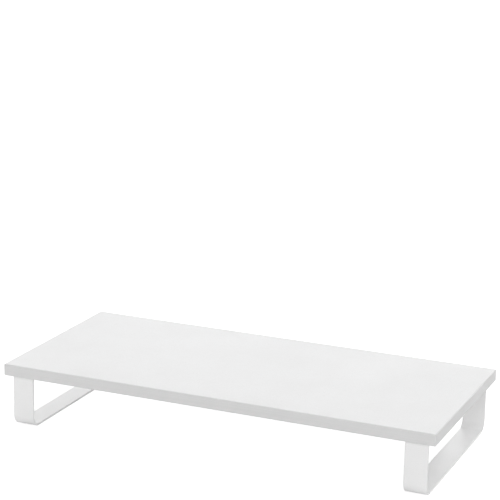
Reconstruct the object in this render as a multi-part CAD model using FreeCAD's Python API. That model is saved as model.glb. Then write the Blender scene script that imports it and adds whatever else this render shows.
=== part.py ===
import FreeCAD, Part

import math
import os

# Monitor riser stand: a laminated board on two legs that are each bent from one flat steel bar.
# Sizes are in millimetres. The origin lies on the desk under the middle of the board.
# +X runs along the board's long side, -Y is the user's side and +Z is up.

# Board: particleboard core, a laminate on each face and edge banding all round
board_width = 590.0
board_depth = 270.0
core_thickness = 15.0
laminate_thickness = 0.2
band_thickness = 1.0
board_edge_radius = 0.8

# Legs: flat bar bent into a loop that is open at the top, where its two ends turn in as flanges
leg_height = 70.0
leg_end_inset = 10.0
leg_front_inset = 6.0
bar_width = 30.0
bar_thickness = 3.0
bar_edge_radius = 1.2
foot_bend_radius = 15.0
top_bend_radius = 6.0
flange_length = 56.0
flange_corner_radius = 4.0

# Anti-slip pads under the straight foot of each leg
pad_length = 44.0
pad_width = 22.0
pad_thickness = 1.0
pad_corner_radius = 4.0
pad_bend_gap = 6.0

# M5 truss-head screws, two through each flange
screw_edge_distance = 20.0
screw_spacing = 24.0
screw_hole_diameter = 5.5
shank_diameter = 4.8
shank_length = 12.0
shank_tip_height = 0.6
shank_tip_diameter = 3.0
head_diameter = 11.0
head_height = 2.6
head_rim_height = 0.5
recess_span = 5.2
recess_slot = 1.1
recess_depth = 1.5
thread_pitch = 0.8
thread_height = 0.4

# Threaded inserts, pressed into blind pockets in the underside of the core
insert_diameter = 8.0
insert_length = 11.0
insert_bore_diameter = 5.0
insert_rib_pitch = 1.6
insert_rib_height = 0.5
pocket_clearance = 0.1

# Worked-out sizes
board_thickness = core_thickness + 2 * laminate_thickness
board_underside = pad_thickness + leg_height
core_underside = board_underside + laminate_thickness
board_top = board_underside + board_thickness
core_width = board_width - 2 * band_thickness
core_depth = board_depth - 2 * band_thickness
leg_length = board_depth - 2 * leg_front_inset
leg_centre = board_width / 2 - leg_end_inset - bar_width / 2
flange_underside = board_underside - bar_thickness
head_radius = head_diameter / 2
dome_height = head_height - head_rim_height
dome_radius = (head_radius ** 2 + dome_height ** 2) / (2 * dome_height)
sharp_angle = math.radians(10)
touch_tolerance = 0.01

x_axis = FreeCAD.Vector(1, 0, 0)
z_axis = FreeCAD.Vector(0, 0, 1)
sides = (("left", -1), ("right", 1))
ends = (("front", -1), ("back", 1))
screw_places = (("outer", screw_edge_distance), ("inner", screw_edge_distance + screw_spacing))


def slab(width, depth, bottom, top, x=0.0, y=0.0):
    """Box with its middle at x, y, running from one height to another."""
    corner = FreeCAD.Vector(x - width / 2, y - depth / 2, bottom)
    return Part.makeBox(width, depth, top - bottom, corner)


def upright_cylinder(diameter, bottom, top, x=0.0, y=0.0):
    """Cylinder along Z, running from one height to another."""
    return Part.makeCylinder(diameter / 2, top - bottom, FreeCAD.Vector(x, y, bottom))


def edges_along(shape, axis):
    """Straight edges that are parallel to an axis."""
    straight = [edge for edge in shape.Edges if edge.Curve.TypeId == "Part::GeomLine"]
    return [edge for edge in straight if abs(edge.tangentAt(edge.FirstParameter).dot(axis)) > 0.999]


def near(value, target):
    """True where two lengths agree."""
    return abs(value - target) < touch_tolerance


def sharp_edges(shape):
    """Edges where two faces meet at an angle. Bend lines, where faces run on smoothly, are left out."""
    found = []
    for edge in shape.Edges:
        middle = edge.valueAt((edge.FirstParameter + edge.LastParameter) / 2)
        faces = shape.ancestorsOfType(edge, Part.Face)
        normals = [face.normalAt(*face.Surface.parameter(middle)) for face in faces]
        if normals[0].getAngle(normals[-1]) > sharp_angle:
            found.append(edge)
    return found


def fastener_positions():
    """Name and X, Y place of each leg screw and the insert above it."""
    places = []
    for side, x_sign in sides:
        for end, y_sign in ends:
            for place, distance in screw_places:
                name = side + "_" + end + "_" + place
                places.append((name, x_sign * leg_centre, y_sign * (leg_length / 2 - distance)))
    return places


def make_board():
    """The board's seven pieces, cut from one block so that its softened edges run across them."""
    block = slab(board_width, board_depth, board_underside, board_top)
    block = block.makeFillet(board_edge_radius, block.Edges)

    core_top = board_top - laminate_thickness
    core = slab(core_width, core_depth, core_underside, core_top)
    bottom_laminate = slab(core_width, core_depth, board_underside, core_underside)
    pocket_diameter = insert_diameter + 2 * pocket_clearance
    for _, x, y in fastener_positions():
        pocket = upright_cylinder(pocket_diameter, board_underside, board_underside + insert_length, x, y)
        core = core.cut(pocket)
        bottom_laminate = bottom_laminate.cut(pocket)

    pieces = {
        "board_core": core,
        "top_laminate": slab(core_width, core_depth, core_top, board_top),
        "bottom_laminate": bottom_laminate,
    }
    for end, y_sign in ends:
        y = y_sign * (board_depth - band_thickness) / 2
        strip = slab(board_width, band_thickness, board_underside, board_top, y=y)
        pieces[end + "_edge_band"] = block.common(strip)
    for side, x_sign in sides:
        x = x_sign * (board_width - band_thickness) / 2
        strip = slab(band_thickness, core_depth, board_underside, board_top, x=x)
        pieces[side + "_edge_band"] = block.common(strip)
    return pieces


def loop_block(width, length, height, foot_radius, top_radius):
    """Block standing on z = 0 whose four edges along X are rounded, two radii at the foot and top."""
    block = slab(width, length, 0, height)
    foot_edges = [edge for edge in edges_along(block, x_axis) if near(edge.CenterOfMass.z, 0)]
    block = block.makeFillet(foot_radius, foot_edges)
    top_edges = [edge for edge in edges_along(block, x_axis) if near(edge.CenterOfMass.z, height)]
    return block.makeFillet(top_radius, top_edges)


def bent_bar():
    """Flat bar bent into the leg loop, standing on z = 0, before its screw holes are drilled."""
    outside = loop_block(bar_width, leg_length, leg_height, foot_bend_radius, top_bend_radius)
    inside = loop_block(
        2 * bar_width,
        leg_length - 2 * bar_thickness,
        leg_height - 2 * bar_thickness,
        foot_bend_radius - bar_thickness,
        top_bend_radius - bar_thickness,
    )
    inside.translate(z_axis * bar_thickness)
    flange_gap = slab(2 * bar_width, leg_length - 2 * flange_length, leg_height / 2, 2 * leg_height)
    bar = outside.cut(inside).cut(flange_gap)

    flange_end = leg_length / 2 - flange_length
    corners = [edge for edge in edges_along(bar, z_axis) if near(abs(edge.CenterOfMass.y), flange_end)]
    bar = bar.makeFillet(flange_corner_radius, corners)
    return bar.makeFillet(bar_edge_radius, sharp_edges(bar))


def make_legs():
    """Both legs, each in its place under the board and drilled for its four screws."""
    legs = {}
    for side, x_sign in sides:
        leg = bent_bar()
        leg.translate(FreeCAD.Vector(x_sign * leg_centre, 0, pad_thickness))
        for name, x, y in fastener_positions():
            if name.startswith(side):
                leg = leg.cut(upright_cylinder(screw_hole_diameter, board_underside / 2, board_top, x, y))
        legs[side + "_leg"] = leg
    return legs


def ridged_rod(crest_diameter, ridge_height, pitch, bottom, top, x, y):
    """Round rod with evenly spaced V-shaped ridges, as near the pitch as fits a whole number of them."""
    crest = crest_diameter / 2
    root = crest - ridge_height
    count = round((top - bottom) / pitch)
    step = (top - bottom) / count
    outline = [(0, bottom), (root, bottom)]
    for ridge in range(count):
        outline.append((crest, bottom + (ridge + 0.5) * step))
        outline.append((root, bottom + (ridge + 1) * step))
    outline.append((0, top))
    corners = [FreeCAD.Vector(radius, 0, height) for radius, height in outline]
    profile = Part.Face(Part.makePolygon(corners + corners[:1]))
    rod = profile.revolve(FreeCAD.Vector(0, 0, 0), z_axis, 360)
    rod.translate(FreeCAD.Vector(x, y, 0))
    return rod


def make_screw(x, y):
    """Truss-head screw with a cross recess, driven up through the flange."""
    bearing = flange_underside
    head_bottom = bearing - head_height
    rim_bottom = bearing - head_rim_height
    thread_top = bearing + shank_length - shank_tip_height

    dome = Part.makeSphere(dome_radius, FreeCAD.Vector(x, y, head_bottom + dome_radius))
    dome = dome.common(upright_cylinder(head_diameter, head_bottom, rim_bottom, x, y))
    rim = upright_cylinder(head_diameter, rim_bottom, bearing, x, y)

    plain_shank = upright_cylinder(shank_diameter, bearing, board_underside, x, y)
    thread = ridged_rod(shank_diameter, thread_height, thread_pitch, board_underside, thread_top, x, y)
    thread_root = shank_diameter / 2 - thread_height
    tip_place = FreeCAD.Vector(x, y, thread_top)
    tip = Part.makeCone(thread_root, shank_tip_diameter / 2, shank_tip_height, tip_place)

    recess_top = head_bottom + recess_depth
    recess = slab(recess_span, recess_slot, 0, recess_top, x, y)
    recess = recess.fuse(slab(recess_slot, recess_span, 0, recess_top, x, y))
    return rim.fuse([dome, plain_shank, thread, tip]).cut(recess).removeSplitter()


def make_insert(x, y):
    """Ribbed insert with its bore, flush with the underside of the board."""
    top = board_underside + insert_length
    body = ridged_rod(
        insert_diameter, insert_rib_height, insert_rib_pitch, board_underside, top, x, y
    )
    return body.cut(upright_cylinder(insert_bore_diameter, board_underside, top, x, y))


def make_pads():
    """Four pads that lie between the legs and the desk, clear of the bends."""
    pads = {}
    pad_y = leg_length / 2 - foot_bend_radius - pad_bend_gap - pad_length / 2
    for side, x_sign in sides:
        for end, y_sign in ends:
            pad = slab(pad_width, pad_length, 0, pad_thickness, x_sign * leg_centre, y_sign * pad_y)
            pads[side + "_" + end + "_pad"] = pad.makeFillet(pad_corner_radius, edges_along(pad, z_axis))
    return pads


def make_fasteners():
    """Each leg screw and the insert that it is driven into."""
    fasteners = {}
    for name, x, y in fastener_positions():
        fasteners[name + "_screw"] = make_screw(x, y)
        fasteners[name + "_insert"] = make_insert(x, y)
    return fasteners


def main():
    os.makedirs("parts", exist_ok=True)
    pieces = {}
    pieces.update(make_board())
    pieces.update(make_legs())
    pieces.update(make_pads())
    pieces.update(make_fasteners())
    for name, shape in pieces.items():
        shape.exportStep("parts/" + name + ".step")


main()
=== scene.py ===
import math

import bmesh
import bpy
from mathutils import Matrix, Vector


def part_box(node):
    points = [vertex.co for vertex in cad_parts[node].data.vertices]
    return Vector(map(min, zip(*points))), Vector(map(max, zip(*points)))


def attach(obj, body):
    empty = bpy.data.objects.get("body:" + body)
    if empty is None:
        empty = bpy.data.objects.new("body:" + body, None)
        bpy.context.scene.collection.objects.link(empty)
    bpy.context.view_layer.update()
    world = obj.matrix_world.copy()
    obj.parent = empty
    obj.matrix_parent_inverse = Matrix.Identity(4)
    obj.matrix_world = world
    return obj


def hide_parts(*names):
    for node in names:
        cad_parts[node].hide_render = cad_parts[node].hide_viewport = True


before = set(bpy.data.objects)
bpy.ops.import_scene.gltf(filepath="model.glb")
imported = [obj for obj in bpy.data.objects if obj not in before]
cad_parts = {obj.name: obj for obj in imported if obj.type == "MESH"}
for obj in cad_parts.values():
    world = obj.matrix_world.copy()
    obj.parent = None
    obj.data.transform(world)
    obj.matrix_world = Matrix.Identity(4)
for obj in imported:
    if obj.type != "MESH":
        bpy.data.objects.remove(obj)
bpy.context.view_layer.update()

# Sizes of the visible pieces, in metres. They repeat the design's own sizes, and the pieces' places
# come from the frame's boxes.

BAR_THICKNESS = 0.003
BAR_EDGE_RADIUS = 0.0012
FOOT_BEND_RADIUS = 0.015
TOP_BEND_RADIUS = 0.006
FLANGE_LENGTH = 0.056
FLANGE_CORNER_RADIUS = 0.004
SCREW_HOLE_RADIUS = 0.00275

HEAD_RIM_HEIGHT = 0.0005
HEAD_RIM_ROUNDING = 0.0002
SHANK_RADIUS = 0.0024
THREAD_HEIGHT = 0.0004
THREAD_PITCH = 0.0008
TIP_HEIGHT = 0.0006
TIP_RADIUS = 0.0015

# The recess is cut by a cross that has its full span one depth below the head, and narrows upwards
RECESS_SPAN = 0.0052
RECESS_SLOT = 0.0011
RECESS_DEPTH = 0.0019
RECESS_TAPER = 0.45

PAD_CORNER_RADIUS = 0.004
PAD_EDGE_ROUNDING = 0.00025
GRIP_PITCH = 0.0024
GRIP_GROOVE_WIDTH = 0.0009
GRIP_GROOVE_DEPTH = 0.00035
GRIP_HEADINGS = (45, -45)

# Mesh fineness: steps round a bend, a corner, a full turn and one turn of the thread
BEND_STEPS = 14
FLANGE_END_STEPS = 6
BAR_CORNER_STEPS = 5
PAD_CORNER_STEPS = 8
PAD_EDGE_STEPS = 3
ROUND_STEPS = 40
DOME_STEPS = 9
THREAD_STEPS = 6

# A corner's radius is at most this share of half a side, so that its ends stay apart
LARGEST_ROUNDING = 0.98

# Points whose heights differ by less than this are level
LEVEL_TOLERANCE = 0.000001

# Where two faces turn by more than this many degrees, smooth shading leaves a sharp edge
SHARP_ANGLE = 35.0
SCREW_SHARP_ANGLE = 40.0

# Marks on the board: the distances from its joints, or from its faces, where each starts to fade
# and where it is gone. The mark near the faces is a painted highlight on glossier, buffed rims
JOINT_LINE = (0.00006, 0.0002)
EDGE_HIGHLIGHT_AND_BUFF = (0.0002, 0.0011)

# Camera: place in metres, its turn to the left, its tilt down and its roll, then its lens and sensor
# in millimetres, and the nearest and furthest that it sees in metres
CAMERA_PLACE = Vector((0.8223, -1.9671, 0.7982))
CAMERA_HEADING = math.radians(22.817)
CAMERA_TILT = math.radians(14.543)
CAMERA_ROLL = math.radians(1.193)
CAMERA_LENS = 122.593
CAMERA_SENSOR = 36.0
CAMERA_CLIP = (0.05, 100.0)

# Surroundings: brightness near the horizon and overhead, and the sines of the angles between which
# it changes
HORIZON_LIGHT = 1.05
ZENITH_LIGHT = 0.30
HORIZON_RISE = 0.20
ZENITH_RISE = 0.60

# Softboxes: name, heading and height angle in degrees as seen from the stand, then distance, width
# and height in metres, and power in watts
SOFTBOXES = (
    ("back", 108, 28, 5.0, 7.0, 2.6, 111.0),
    ("left", 180, 36, 4.0, 3.6, 1.6, 23.0),
    ("right", 0, 60, 4.0, 3.6, 1.6, 44.0),
    ("right_front", -45, 24, 4.0, 3.6, 1.6, 15.0),
    ("front", 270, 14, 4.0, 4.4, 1.2, 25.0),
)

# Floor: the layer that the camera sees, and the card below it that lights the stand
FLOOR_HALF_SIZE = 30.0
FLOOR_GREY = 0.45
FLOOR_GLOW = 0.80
FLOOR_DROP = 0.00005
BOUNCE_GREY = 0.90
BOUNCE_ROUGHNESS = 0.9
BOUNCE_DROP = 0.0002

SIDES = ("left", "right")
ENDS = ("front", "back")
PLACES = ("outer", "inner")


def socket_value(tree, socket, value):
    """Links a socket to another node's output, or sets it to a plain value."""
    if isinstance(value, bpy.types.NodeSocket):
        tree.links.new(value, socket)
    else:
        socket.default_value = value


def add_node(tree, kind, inputs=None, **properties):
    """New shader node of a kind, with its properties and inputs set."""
    node = tree.nodes.new("ShaderNode" + kind)
    for name, value in properties.items():
        setattr(node, name, value)
    for name, value in (inputs or {}).items():
        socket_value(tree, node.inputs[name], value)
    return node


def mix_colour(tree, factor, first, second):
    """First colour where the factor is 0, second where it is 1."""
    node = add_node(tree, "Mix", data_type="RGBA")
    colours = [socket for socket in node.inputs if socket.type == "RGBA"]
    for socket, value in zip((node.inputs[0], *colours), (factor, first, second)):
        socket_value(tree, socket, value)
    return next(socket for socket in node.outputs if socket.type == "RGBA")


def calculate(tree, operation, first, second=0.0, third=0.0):
    """Result of one arithmetic node."""
    node = add_node(tree, "Math", operation=operation)
    for socket, value in zip(node.inputs, (first, second, third)):
        socket_value(tree, socket, value)
    return node.outputs[0]


def remap(tree, value, low, high, to_low, to_high):
    """Value carried from one range to another, and held at its ends."""
    limits = {"Value": value, "From Min": low, "From Max": high, "To Min": to_low, "To Max": to_high}
    return add_node(tree, "MapRange", limits).outputs[0]


def noise(tree, place, scale, detail=2.0, roughness=0.5):
    """Noise value at a place, with its scale in cycles per metre."""
    inputs = {"Vector": place, "Scale": scale, "Detail": detail, "Roughness": roughness}
    return add_node(tree, "TexNoise", inputs).outputs[0]


def stretched(tree, place, scale):
    """Place with each axis scaled, for grain that runs one way."""
    return add_node(tree, "Mapping", {"Vector": place, "Scale": scale}).outputs[0]


def bumps(tree, *layers):
    """Normal that rises and falls by each layer's height value times its depth in metres."""
    normal = None
    for height, depth in layers:
        inputs = {"Height": height, "Distance": depth, "Strength": 1.0}
        if normal is not None:
            inputs["Normal"] = normal
        normal = add_node(tree, "Bump", inputs).outputs[0]
    return normal


def new_material(name):
    """Material with its node tree, its main shader and the object-space place of a surface point."""
    material = bpy.data.materials.new(name)
    material.use_nodes = True
    tree = material.node_tree
    shader = tree.nodes["Principled BSDF"]
    place = add_node(tree, "TexCoord").outputs["Object"]
    return material, tree, shader, place


def grey(value, warmth=0.0):
    """Near-neutral colour, made slightly warm or cool."""
    return (value * (1 + warmth), value, value * (1 - warmth), 1.0)


def on_planes(tree, place, x=None, y=None):
    """1 on the planes at plus and minus a given X or Y, falling to 0 at the joint line's reach."""
    axes = add_node(tree, "SeparateXYZ", {"Vector": place}).outputs
    found = 0.0
    for coordinate, plane in ((axes[0], x), (axes[1], y)):
        if plane is not None:
            offset = calculate(tree, "SUBTRACT", calculate(tree, "ABSOLUTE", coordinate), plane)
            away = calculate(tree, "ABSOLUTE", offset)
            found = calculate(tree, "MAXIMUM", found, remap(tree, away, *JOINT_LINE, 1.0, 0.0))
    return found


def laminate_material():
    """White melamine: pearl-embossed face with painted shade in the emboss's hollows, faint mottling,
    wipe marks and a joint line at its rim.
    """
    material, tree, shader, place = new_material("white_melamine")
    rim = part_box("top_laminate")[1]
    joint = on_planes(tree, place, rim.x, rim.y)

    mottle = noise(tree, place, 14.0, 4.0, 0.6)
    pearl = noise(tree, place, 850.0, 3.0, 0.55)
    fleck = noise(tree, place, 2300.0, 2.0, 0.6)
    clouding = remap(tree, mottle, 0.35, 0.65, 0.0, 1.0)
    field = mix_colour(tree, clouding, grey(0.755), grey(0.775, -0.002))
    # Painted shade: the colour is darker where the pearl emboss is low, in its hollows
    field = mix_colour(tree, remap(tree, pearl, 0.50, 0.30, 0.0, 0.7), field, grey(0.70))
    field = mix_colour(tree, remap(tree, fleck, 0.60, 0.75, 0.0, 0.4), field, grey(0.71))
    socket_value(tree, shader.inputs["Base Color"], mix_colour(tree, joint, field, grey(0.58)))

    wiped = noise(tree, stretched(tree, place, (9.0, 60.0, 9.0)), 3.0, 6.0, 0.7)
    smudge = noise(tree, place, 9.0, 3.0, 0.55)
    gloss = remap(tree, smudge, 0.3, 0.7, 0.41, 0.46)
    gloss = calculate(tree, "ADD", gloss, remap(tree, wiped, 0.5, 0.8, 0.0, 0.05))
    gloss = calculate(tree, "ADD", gloss, remap(tree, fleck, 0.3, 0.7, -0.04, 0.04))
    socket_value(tree, shader.inputs["Roughness"], gloss)
    shader.inputs["IOR"].default_value = 1.5

    wave = noise(tree, place, 22.0, 1.0, 0.4)
    groove = calculate(tree, "SUBTRACT", 1.0, joint)
    normal = bumps(tree, (wave, 0.00015), (pearl, 0.00016), (fleck, 0.00002), (groove, 0.00006))
    socket_value(tree, shader.inputs["Normal"], normal)
    return material


def band_material(name, joint_x, joint_y):
    """White plastic edging: streaks along its length, fine grain with painted shade in its hollows, a
    painted highlight along its glossier top and bottom edges, and joint lines.
    """
    material, tree, shader, place = new_material(name)
    low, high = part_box("front_edge_band")
    height = add_node(tree, "SeparateXYZ", {"Vector": place}).outputs[2]
    above = calculate(tree, "SUBTRACT", height, low.z)
    below = calculate(tree, "SUBTRACT", high.z, height)
    # Mask along the edging's top and bottom edges: lighter colour there is a painted highlight, lower
    # roughness is the buffing
    edge = remap(tree, calculate(tree, "MINIMUM", above, below), *EDGE_HIGHLIGHT_AND_BUFF, 1.0, 0.0)
    joint = on_planes(tree, place, joint_x, joint_y)

    streak = noise(tree, stretched(tree, place, (3.0, 3.0, 1100.0)), 1.0, 3.0, 0.6)
    cloud = noise(tree, place, 18.0, 3.0, 0.55)
    grain = noise(tree, place, 1000.0, 3.0, 0.55)
    streaked = calculate(tree, "MULTIPLY", streak, 0.6)
    clouded = calculate(tree, "MULTIPLY", cloud, 0.4)
    tone = calculate(tree, "ADD", streaked, clouded)
    body = mix_colour(tree, remap(tree, tone, 0.3, 0.7, 0.0, 1.0), grey(0.64), grey(0.69, 0.003))
    # Painted shade: the colour is darker where the fine grain is low, in its hollows
    body = mix_colour(tree, remap(tree, grain, 0.48, 0.30, 0.0, 0.6), body, grey(0.60))
    # Painted highlight: the edging is lighter along its top and bottom edges
    body = mix_colour(tree, edge, body, grey(0.70))
    socket_value(tree, shader.inputs["Base Color"], mix_colour(tree, joint, body, grey(0.48)))

    gloss = remap(tree, streak, 0.3, 0.7, 0.42, 0.52)
    gloss = calculate(tree, "SUBTRACT", gloss, calculate(tree, "MULTIPLY", edge, 0.10))
    socket_value(tree, shader.inputs["Roughness"], gloss)
    shader.inputs["IOR"].default_value = 1.49

    groove = calculate(tree, "SUBTRACT", 1.0, joint)
    normal = bumps(tree, (cloud, 0.0001), (streak, 0.00004), (grain, 0.0001), (groove, 0.00006))
    socket_value(tree, shader.inputs["Normal"], normal)
    return material


def powder_coat_material():
    """Satin white powder coat: orange peel with painted shade in its hollows, pinholes, and painted
    shade along the bar's rounded edges, where the film is also thinner and glossier.
    """
    material, tree, shader, place = new_material("white_powder_coat")
    surface_normal = add_node(tree, "TexCoord").outputs["Normal"]
    facing = add_node(tree, "SeparateXYZ", {"Vector": surface_normal}).outputs[0]
    sideways = calculate(tree, "ABSOLUTE", facing)
    rising = remap(tree, sideways, 0.12, 0.45, 0.0, 1.0)
    falling = remap(tree, sideways, 0.80, 0.98, 1.0, 0.0)
    arris = calculate(tree, "MULTIPLY", rising, falling)
    patch = noise(tree, place, 160.0, 3.0, 0.6)
    # Mask along the bar's rounded edges: painted shade in the colour there, plus a thinner, glossier
    # film
    edge_shade_and_thin_film = calculate(tree, "MULTIPLY", arris, remap(tree, patch, 0.35, 0.65, 0.45, 1.0))

    cloud = noise(tree, place, 25.0, 3.0, 0.55)
    peel = noise(tree, place, 900.0, 2.0, 0.5)
    fine = noise(tree, place, 2100.0, 2.0, 0.5)
    cells = add_node(tree, "TexVoronoi", {"Vector": place, "Scale": 240.0}).outputs["Distance"]
    pinhole = remap(tree, cells, 0.02, 0.08, 1.0, 0.0)
    clouding = remap(tree, cloud, 0.35, 0.65, 0.0, 1.0)
    film = mix_colour(tree, clouding, grey(0.84, 0.001), grey(0.86, 0.002))
    # Painted shade: the colour is darker where the orange peel is low, in its hollows
    film = mix_colour(tree, remap(tree, peel, 0.50, 0.30, 0.0, 0.7), film, grey(0.81))
    film = mix_colour(tree, calculate(tree, "MULTIPLY", pinhole, 0.5), film, grey(0.62))
    # Painted shade: the colour is darker along the bar's rounded edges
    socket_value(tree, shader.inputs["Base Color"], mix_colour(tree, edge_shade_and_thin_film, film, grey(0.74)))

    gloss = remap(tree, fine, 0.3, 0.7, 0.30, 0.42)
    gloss = calculate(tree, "SUBTRACT", gloss, calculate(tree, "MULTIPLY", edge_shade_and_thin_film, 0.08))
    socket_value(tree, shader.inputs["Roughness"], gloss)
    shader.inputs["IOR"].default_value = 1.5

    pit = calculate(tree, "SUBTRACT", 1.0, pinhole)
    normal = bumps(tree, (peel, 0.00020), (fine, 0.00004), (pit, 0.00004))
    socket_value(tree, shader.inputs["Normal"], normal)
    return material


def zinc_material():
    """Bright zinc plating: turning marks round the axis, a faint yellow-blue film and dull patches."""
    material, tree, shader, place = new_material("zinc_plating")
    axes = add_node(tree, "SeparateXYZ", {"Vector": place}).outputs
    flat = add_node(tree, "CombineXYZ", {"X": axes[0], "Y": axes[1]}).outputs[0]
    radius = add_node(tree, "VectorMath", {0: flat}, operation="LENGTH").outputs[1]
    rings = noise(tree, add_node(tree, "CombineXYZ", {"X": radius}).outputs[0], 9000.0, 2.0, 0.6)
    film = noise(tree, place, 350.0, 3.0, 0.6)
    bluish, yellowish = (0.52, 0.54, 0.57, 1), (0.62, 0.60, 0.53, 1)
    tint = mix_colour(tree, remap(tree, film, 0.3, 0.7, 0.0, 1.0), bluish, yellowish)
    socket_value(tree, shader.inputs["Base Color"], tint)
    socket_value(tree, shader.inputs["Roughness"], remap(tree, film, 0.3, 0.7, 0.24, 0.40))
    shader.inputs["Metallic"].default_value = 1.0
    normal = bumps(tree, (rings, 0.000008), (film, 0.00001))
    socket_value(tree, shader.inputs["Normal"], normal)
    return material


def brass_material():
    """Turned brass: fine rings along its length and slight tarnish."""
    material, tree, shader, place = new_material("turned_brass")
    tarnish = noise(tree, place, 500.0, 4.0, 0.6)
    lathe = noise(tree, stretched(tree, place, (1.0, 1.0, 9000.0)), 1.0, 2.0, 0.5)
    bright, tarnished = (0.80, 0.62, 0.30, 1), (0.52, 0.38, 0.19, 1)
    tint = mix_colour(tree, remap(tree, tarnish, 0.35, 0.7, 0.0, 1.0), bright, tarnished)
    socket_value(tree, shader.inputs["Base Color"], tint)
    socket_value(tree, shader.inputs["Roughness"], remap(tree, tarnish, 0.3, 0.7, 0.28, 0.45))
    shader.inputs["Metallic"].default_value = 1.0
    socket_value(tree, shader.inputs["Normal"], bumps(tree, (lathe, 0.00001)))
    return material


def rubber_material():
    """Matt grey anti-slip rubber: fine grain, and dust that lies in its grip pattern's grooves."""
    material, tree, shader, place = new_material("grey_rubber")
    height = add_node(tree, "SeparateXYZ", {"Vector": place}).outputs[2]
    hollow = remap(tree, height, 0.0, GRIP_GROOVE_DEPTH, 0.0, 1.0)
    grain = noise(tree, place, 2200.0, 3.0, 0.6)
    dust = noise(tree, place, 120.0, 4.0, 0.65)
    cloud = noise(tree, place, 40.0, 3.0, 0.6)
    body = mix_colour(tree, remap(tree, grain, 0.3, 0.7, 0.0, 1.0), grey(0.30), grey(0.36, 0.01))
    body = mix_colour(tree, remap(tree, cloud, 0.35, 0.65, 0.0, 0.5), body, grey(0.40, 0.01))
    dusty = calculate(tree, "MULTIPLY", hollow, remap(tree, dust, 0.4, 0.7, 0.1, 0.5))
    socket_value(tree, shader.inputs["Base Color"], mix_colour(tree, dusty, body, grey(0.52, 0.02)))
    socket_value(tree, shader.inputs["Roughness"], remap(tree, grain, 0.3, 0.7, 0.70, 0.88))
    normal = bumps(tree, (cloud, 0.00005), (grain, 0.00003))
    socket_value(tree, shader.inputs["Normal"], normal)
    return material


def particleboard_material():
    """Raw particleboard: pressed wood chips of mixed tone with fine dark gaps."""
    material, tree, shader, place = new_material("particleboard")
    lying = {"Vector": stretched(tree, place, (1.0, 1.4, 2.2)), "Scale": 420.0}
    chips = add_node(tree, "TexVoronoi", lying)
    gap = add_node(tree, "TexVoronoi", lying, feature="DISTANCE_TO_EDGE").outputs[0]
    tone = add_node(tree, "SeparateXYZ", {"Vector": chips.outputs["Color"]}).outputs[0]
    dark_chip, pale_chip, crevice = (0.42, 0.28, 0.15, 1), (0.74, 0.58, 0.38, 1), (0.22, 0.14, 0.08, 1)
    wood = mix_colour(tree, tone, dark_chip, pale_chip)
    dark = remap(tree, gap, 0.0, 0.08, 1.0, 0.0)
    socket_value(tree, shader.inputs["Base Color"], mix_colour(tree, dark, wood, crevice))
    socket_value(tree, shader.inputs["Roughness"], remap(tree, tone, 0.0, 1.0, 0.75, 0.92))
    socket_value(tree, shader.inputs["Normal"], bumps(tree, (tone, 0.0002), (gap, 0.0003)))
    return material


def paint(piece, material):
    """Gives every material slot of a piece the one material."""
    for place in range(max(1, len(piece.data.materials))):
        if place < len(piece.data.materials):
            piece.data.materials[place] = material
        else:
            piece.data.materials.append(material)


def new_object(name, mesh):
    """Object in the scene from a bmesh, which is freed."""
    data = bpy.data.meshes.new(name)
    mesh.to_mesh(data)
    mesh.free()
    item = bpy.data.objects.new(name, data)
    bpy.context.scene.collection.objects.link(item)
    return item


def new_piece(name, mesh, material):
    """Piece of the stand from a bmesh, with its material and its slot, riding on the stand."""
    piece = new_object(name, mesh)
    piece.data.materials.append(material)
    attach(piece, "root")
    return piece


def join_rings(mesh, first, second):
    """Faces between two rings of points: quads, or triangles where one ring is a single point."""
    count = max(len(first), len(second))
    for index in range(count):
        after = (index + 1) % count
        if len(first) == 1:
            mesh.faces.new((first[0], second[after], second[index]))
        elif len(second) == 1:
            mesh.faces.new((first[index], first[after], second[0]))
        else:
            mesh.faces.new((first[index], first[after], second[after], second[index]))


def skin(mesh, rings):
    """Closed skin over a row of rings, capped at an end that isn't a single point."""
    for first, second in zip(rings, rings[1:]):
        join_rings(mesh, first, second)
    if len(rings[0]) > 1:
        mesh.faces.new(reversed(rings[0]))
    if len(rings[-1]) > 1:
        mesh.faces.new(rings[-1])
    bmesh.ops.recalc_face_normals(mesh, faces=mesh.faces)


def cut(piece, cutters):
    """Takes the cutters' shapes out of a piece, and removes the cutters."""
    for cutter in cutters:
        modifier = piece.modifiers.new("cut", "BOOLEAN")
        modifier.object = cutter
        modifier.operation = "DIFFERENCE"
        modifier.solver = "EXACT"
    graph = bpy.context.evaluated_depsgraph_get()
    whole = bpy.data.meshes.new_from_object(piece.evaluated_get(graph))
    piece.modifiers.clear()
    piece.data = whole
    for cutter in cutters:
        bpy.data.objects.remove(cutter)


def finish_shading(piece, angle=SHARP_ANGLE):
    """Smooth shading that keeps flats flat and corners sharp."""
    piece.data.shade_smooth()
    piece.data.set_sharp_from_angle(angle=math.radians(angle))
    weighted = piece.modifiers.new("flat_faces", "WEIGHTED_NORMAL")
    weighted.keep_sharp = True


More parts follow.
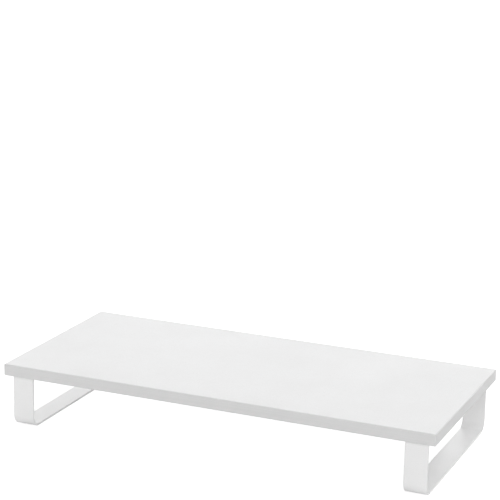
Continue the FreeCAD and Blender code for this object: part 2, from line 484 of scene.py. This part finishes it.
def bar_path(low, high):
    """Stations down the middle of the bent bar, as (y, z, heading, distance from the nearer end).

    The path runs from the front flange's free end round the loop to the back flange's free end.
    """
    half = BAR_THICKNESS / 2
    corners = (
        (low.y + TOP_BEND_RADIUS, high.z - TOP_BEND_RADIUS, TOP_BEND_RADIUS, 90),
        (low.y + FOOT_BEND_RADIUS, low.z + FOOT_BEND_RADIUS, FOOT_BEND_RADIUS, 180),
        (high.y - FOOT_BEND_RADIUS, low.z + FOOT_BEND_RADIUS, FOOT_BEND_RADIUS, 270),
        (high.y - TOP_BEND_RADIUS, high.z - TOP_BEND_RADIUS, TOP_BEND_RADIUS, 0),
    )
    stations = []
    free_ends = [step / FLANGE_END_STEPS for step in range(FLANGE_END_STEPS + 1)]
    for share in free_ends:
        distance = FLANGE_CORNER_RADIUS * (1 - math.cos(share * math.pi / 2))
        stations.append((low.y + FLANGE_LENGTH - distance, high.z - half, math.pi, distance))
    for centre_y, centre_z, radius, start in corners:
        for step in range(BEND_STEPS + 1):
            angle = math.radians(start + 90 * step / BEND_STEPS)
            y = centre_y + (radius - half) * math.cos(angle)
            z = centre_z + (radius - half) * math.sin(angle)
            stations.append((y, z, angle + math.pi / 2, FLANGE_LENGTH))
    for share in reversed(free_ends):
        distance = FLANGE_CORNER_RADIUS * (1 - math.cos(share * math.pi / 2))
        stations.append((high.y - FLANGE_LENGTH + distance, high.z - half, math.pi, distance))
    return stations


def bar_section(half_width, half_thickness):
    """Outline of the bar's rounded cross-section, as (across, outward) pairs."""
    radius = min(BAR_EDGE_RADIUS, LARGEST_ROUNDING * half_thickness, LARGEST_ROUNDING * half_width)
    outline = []
    for quarter in range(4):
        across = (half_width - radius) * (1 if quarter in (0, 3) else -1)
        outward = (half_thickness - radius) * (1 if quarter in (0, 1) else -1)
        for step in range(BAR_CORNER_STEPS + 1):
            angle = math.pi / 2 * (quarter + step / BAR_CORNER_STEPS)
            outline.append((across + radius * math.cos(angle), outward + radius * math.sin(angle)))
    return outline


def rounded_reach(full, radius, distance):
    """Half size near a rounded end, for a distance in from that end."""
    if distance >= radius:
        return full
    return full - radius + math.sqrt(max(0.0, radius ** 2 - (radius - distance) ** 2))


def hole_cutter(centre, bottom, top):
    """Cylinder along Z, for cutting a screw hole."""
    mesh = bmesh.new()
    bmesh.ops.create_cone(
        mesh,
        cap_ends=True,
        segments=ROUND_STEPS,
        radius1=SCREW_HOLE_RADIUS,
        radius2=SCREW_HOLE_RADIUS,
        depth=top - bottom,
        matrix=Matrix.Translation((centre.x, centre.y, (bottom + top) / 2)),
    )
    return new_object("hole", mesh)


def make_leg(side, material):
    """Leg swept along its bent path, with rounded edges, rounded flange ends and four screw holes."""
    node = side + "_leg"
    low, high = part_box(node)
    middle = (low.x + high.x) / 2
    mesh = bmesh.new()
    rings = []
    for y, z, heading, distance in bar_path(low, high):
        half_width = rounded_reach((high.x - low.x) / 2, FLANGE_CORNER_RADIUS, distance)
        half_thickness = rounded_reach(BAR_THICKNESS / 2, BAR_EDGE_RADIUS, distance)
        outward_y, outward_z = math.sin(heading), -math.cos(heading)
        ring = []
        for across, outward in bar_section(half_width, half_thickness):
            point = (middle + across, y + outward * outward_y, z + outward * outward_z)
            ring.append(mesh.verts.new(point))
        rings.append(ring)
    skin(mesh, rings)
    leg = new_piece(side + "_bent_bar", mesh, material)

    cutters = []
    for end in ENDS:
        for place in PLACES:
            screw_low, screw_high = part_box("_".join((side, end, place, "screw")))
            centre = (screw_low + screw_high) / 2
            cutters.append(hole_cutter(centre, (low.z + high.z) / 2, high.z + BAR_THICKNESS))
    cut(leg, cutters)
    finish_shading(leg)
    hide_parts(node)


def recess_cutter(head_bottom):
    """Cross-shaped cutter that narrows upwards, for a screw's drive recess."""
    mesh = bmesh.new()
    outline = []
    half_span, half_slot = RECESS_SPAN / 2, RECESS_SLOT / 2
    for quarter in range(4):
        turn = Matrix.Rotation(quarter * math.pi / 2, 3, "Z")
        for x, y in ((half_slot, -half_slot), (half_span, -half_slot), (half_span, half_slot)):
            outline.append(turn @ Vector((x, y, 0.0)))
    rings = []
    for scale, height in ((1.0, -RECESS_DEPTH), (RECESS_TAPER, RECESS_DEPTH)):
        rings.append([mesh.verts.new((point.x * scale, point.y * scale, height)) for point in outline])
    skin(mesh, rings)
    cutter = new_object("recess", mesh)
    cutter.location = (0.0, 0.0, head_bottom)
    return cutter


def screw_outline(low, high, bearing, board_underside):
    """Lathe outline of a truss-head screw from its head's lowest point: (radius, z, threaded)."""
    head_radius = (high.x - low.x) / 2
    dome_height = bearing - HEAD_RIM_HEIGHT - low.z
    dome_radius = (head_radius ** 2 + dome_height ** 2) / (2 * dome_height)
    spread = math.asin(head_radius / dome_radius)
    outline = [(0.0, low.z, False)]
    for step in range(1, DOME_STEPS + 1):
        angle = spread * step / DOME_STEPS
        z = low.z + dome_radius * (1 - math.cos(angle))
        outline.append((dome_radius * math.sin(angle), z, False))
    outline.append((head_radius, bearing - HEAD_RIM_ROUNDING, False))
    outline.append((head_radius - HEAD_RIM_ROUNDING, bearing, False))
    outline.append((SHANK_RADIUS, bearing, False))
    outline.append((SHANK_RADIUS, board_underside, False))
    thread_length = high.z - TIP_HEIGHT - board_underside
    count = int(thread_length / THREAD_PITCH * THREAD_STEPS)
    for step in range(1, count + 1):
        outline.append((SHANK_RADIUS, board_underside + thread_length * step / count, True))
    outline.append((TIP_RADIUS, high.z, False))
    outline.append((0.0, high.z, False))
    return outline


def lathe_ring(mesh, radius, z, threaded):
    """Ring of points round the Z axis, drawn in where the thread's groove passes."""
    if radius == 0.0:
        return [mesh.verts.new((0.0, 0.0, z))]
    ring = []
    for step in range(ROUND_STEPS):
        turn = step / ROUND_STEPS
        reach = radius
        if threaded:
            phase = (z / THREAD_PITCH - turn) % 1.0
            reach -= THREAD_HEIGHT * abs(2 * phase - 1)
        point = (reach * math.cos(turn * math.tau), reach * math.sin(turn * math.tau), z)
        ring.append(mesh.verts.new(point))
    return ring


def make_screw(name, material):
    """Truss-head screw with a real helical thread and a tapered cross recess."""
    node = name + "_screw"
    low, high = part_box(node)
    leg_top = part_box(name.split("_")[0] + "_leg")[1].z
    mesh = bmesh.new()
    outline = screw_outline(low, high, leg_top - BAR_THICKNESS, leg_top)
    skin(mesh, [lathe_ring(mesh, radius, z, threaded) for radius, z, threaded in outline])
    screw = new_piece(name + "_cross_head_screw", mesh, material)
    cut(screw, [recess_cutter(low.z)])
    screw.location = ((low.x + high.x) / 2, (low.y + high.y) / 2, 0.0)
    finish_shading(screw, SCREW_SHARP_ANGLE)
    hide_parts(node)


def groove_cutter(centre, reach, heading):
    """Row of long V-shaped prisms, for cutting grooves across an underside at the centre's height."""
    mesh = bmesh.new()
    turn = Matrix.Rotation(math.radians(heading), 3, "Z")
    count = math.ceil(reach / GRIP_PITCH)
    for row in range(-count, count):
        middle = (row + 0.5) * GRIP_PITCH
        section = (
            (middle - GRIP_GROOVE_WIDTH, -GRIP_GROOVE_DEPTH),
            (middle + GRIP_GROOVE_WIDTH, -GRIP_GROOVE_DEPTH),
            (middle, GRIP_GROOVE_DEPTH),
        )
        rings = []
        for along in (-reach, reach):
            rings.append([mesh.verts.new(turn @ Vector((along, y, z))) for y, z in section])
        skin(mesh, rings)
    cutter = new_object("grooves", mesh)
    cutter.location = centre
    return cutter


def make_pad(name, material):
    """Anti-slip pad: a thin slab with rounded corners, softened edges and a diamond grip pattern."""
    node = name + "_pad"
    low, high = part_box(node)
    mesh = bmesh.new()
    outline = []
    for quarter in range(4):
        x = high.x - PAD_CORNER_RADIUS if quarter in (0, 3) else low.x + PAD_CORNER_RADIUS
        y = high.y - PAD_CORNER_RADIUS if quarter in (0, 1) else low.y + PAD_CORNER_RADIUS
        for step in range(PAD_CORNER_STEPS + 1):
            angle = math.pi / 2 * (quarter + step / PAD_CORNER_STEPS)
            across, along = math.cos(angle), math.sin(angle)
            outline.append((x + PAD_CORNER_RADIUS * across, y + PAD_CORNER_RADIUS * along))
    top = mesh.faces.new([mesh.verts.new((x, y, high.z)) for x, y in outline])
    grown = bmesh.ops.extrude_face_region(mesh, geom=[top])
    lower = [item for item in grown["geom"] if isinstance(item, bmesh.types.BMVert)]
    bmesh.ops.translate(mesh, verts=lower, vec=(0, 0, low.z - high.z))
    bmesh.ops.recalc_face_normals(mesh, faces=mesh.faces)
    rims = []
    for edge in mesh.edges:
        first, second = edge.verts
        if abs(first.co.z - second.co.z) < LEVEL_TOLERANCE:
            rims.append(edge)
    bmesh.ops.bevel(
        mesh,
        geom=rims,
        offset=PAD_EDGE_ROUNDING,
        segments=PAD_EDGE_STEPS,
        profile=0.5,
        affect="EDGES",
        clamp_overlap=True,
    )
    pad = new_piece(name + "_grip_pad", mesh, material)
    centre = Vector(((low.x + high.x) / 2, (low.y + high.y) / 2, low.z))
    reach = (high - low).length
    cut(pad, [groove_cutter(centre, reach, heading) for heading in GRIP_HEADINGS])
    finish_shading(pad)
    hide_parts(node)


def flat_grid(name, x_lines, y_lines, openings, height, material):
    """Level sheet of cells between grid lines, less its openings."""
    mesh = bmesh.new()
    rows = [[mesh.verts.new((x, y, height)) for x in x_lines] for y in y_lines]
    for row, (near_side, far_side) in enumerate(zip(rows, rows[1:])):
        for column in range(len(x_lines) - 1):
            if (column, row) not in openings:
                after = column + 1
                mesh.faces.new((near_side[column], near_side[after], far_side[after], far_side[column]))
    sheet = new_object(name, mesh)
    sheet.data.materials.append(material)
    return sheet


def one_sided(tree, shader):
    """Lets a surface be seen from its upper side only."""
    backfacing = add_node(tree, "NewGeometry").outputs["Backfacing"]
    clear = add_node(tree, "BsdfTransparent").outputs[0]
    join = add_node(tree, "MixShader")
    for index, value in enumerate((backfacing, shader.outputs[0], clear)):
        socket_value(tree, join.inputs[index], value)
    socket_value(tree, tree.nodes["Material Output"].inputs["Surface"], join.outputs[0])


def bounce_lines():
    """Grid lines of the card in X and Y, and the cells under the feet that are left open."""
    left_low, left_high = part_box("left_leg")
    inset = FOOT_BEND_RADIUS
    x_lines = (-FLOOR_HALF_SIZE, left_low.x, left_high.x, -left_high.x, -left_low.x, FLOOR_HALF_SIZE)
    y_lines = (-FLOOR_HALF_SIZE, left_low.y + inset, left_high.y - inset, FLOOR_HALF_SIZE)
    return x_lines, y_lines, {(1, 1), (3, 1)}


def make_floor():
    """White studio floor in two layers.

    The camera sees the upper one, which glows a little so that shadows on it stay faint. The lower
    one is plain white card. It lights the stand from below, and is darker where the stand shades it.
    """
    material, tree, shader, _ = new_material("white_floor")
    shader.inputs["Base Color"].default_value = grey(FLOOR_GREY)
    shader.inputs["Roughness"].default_value = 1.0
    shader.inputs["Specular IOR Level"].default_value = 0.0
    shader.inputs["Emission Color"].default_value = grey(1.0)
    shader.inputs["Emission Strength"].default_value = FLOOR_GLOW
    one_sided(tree, shader)
    ends = (-FLOOR_HALF_SIZE, FLOOR_HALF_SIZE)
    seen = flat_grid("floor", ends, ends, (), -FLOOR_DROP, material)
    for ray in ("diffuse", "glossy", "transmission", "volume_scatter", "shadow"):
        setattr(seen, "visible_" + ray, False)

    card, _, card_shader, _ = new_material("white_card")
    card_shader.inputs["Base Color"].default_value = grey(BOUNCE_GREY)
    card_shader.inputs["Roughness"].default_value = BOUNCE_ROUGHNESS
    bounce = flat_grid("floor_bounce", *bounce_lines(), -BOUNCE_DROP, card)
    bounce.visible_camera = False


def make_world():
    """White surroundings that are brightest at the horizon."""
    world = bpy.data.worlds.new("studio")
    world.use_nodes = True
    tree = world.node_tree
    direction = add_node(tree, "TexCoord").outputs["Generated"]
    height = add_node(tree, "SeparateXYZ", {"Vector": direction}).outputs[2]
    sky = remap(tree, height, HORIZON_RISE, ZENITH_RISE, HORIZON_LIGHT, ZENITH_LIGHT)
    background = tree.nodes["Background"]
    background.inputs["Color"].default_value = grey(1.0)
    socket_value(tree, background.inputs["Strength"], sky)
    bpy.context.scene.world = world


def make_lights():
    """Softboxes round the stand, each one facing it."""
    for name, heading, height_angle, distance, width, height, power in SOFTBOXES:
        turn, rise = math.radians(heading), math.radians(height_angle)
        level = math.cos(rise)
        outward = Vector((math.cos(turn) * level, math.sin(turn) * level, math.sin(rise)))
        data = bpy.data.lights.new(name, "AREA")
        data.shape = "RECTANGLE"
        data.size, data.size_y = width, height
        data.energy = power
        light = bpy.data.objects.new(name, data)
        light.location = outward * distance
        light.rotation_mode = "QUATERNION"
        light.rotation_quaternion = (-outward).to_track_quat("-Z", "Y")
        bpy.context.scene.collection.objects.link(light)


def make_camera():
    """Camera at the height and heading of the product view."""
    data = bpy.data.cameras.new("camera")
    data.lens = CAMERA_LENS
    data.sensor_width = CAMERA_SENSOR
    data.clip_start, data.clip_end = CAMERA_CLIP
    camera = bpy.data.objects.new("camera", data)
    turn = Matrix.Rotation(CAMERA_HEADING, 4, "Z")
    tilt = Matrix.Rotation(math.pi / 2 - CAMERA_TILT, 4, "X")
    roll = Matrix.Rotation(CAMERA_ROLL, 4, "Z")
    camera.matrix_world = Matrix.Translation(CAMERA_PLACE) @ turn @ tilt @ roll
    bpy.context.scene.collection.objects.link(camera)
    bpy.context.scene.camera = camera


def dress_board():
    """Materials for the board's pieces, whose shapes are the frame's own."""
    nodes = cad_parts
    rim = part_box("top_laminate")[1]
    laminate = laminate_material()
    for name in ("top_laminate", "bottom_laminate"):
        paint(nodes[name], laminate)
    long_band = band_material("white_edging_long", None, rim.y)
    short_band = band_material("white_edging_short", rim.x, rim.y)
    for end, side in zip(ENDS, SIDES):
        paint(nodes[end + "_edge_band"], long_band)
        paint(nodes[side + "_edge_band"], short_band)
    paint(nodes["board_core"], particleboard_material())


def main():
    bpy.context.scene.view_settings.view_transform = "Standard"
    make_camera()
    make_world()
    make_lights()
    make_floor()
    dress_board()
    powder_coat = powder_coat_material()
    zinc = zinc_material()
    brass = brass_material()
    rubber = rubber_material()
    for side in SIDES:
        make_leg(side, powder_coat)
        for end in ENDS:
            make_pad(side + "_" + end, rubber)
            for place in PLACES:
                name = "_".join((side, end, place))
                make_screw(name, zinc)
                paint(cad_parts[name + "_insert"], brass)


main()
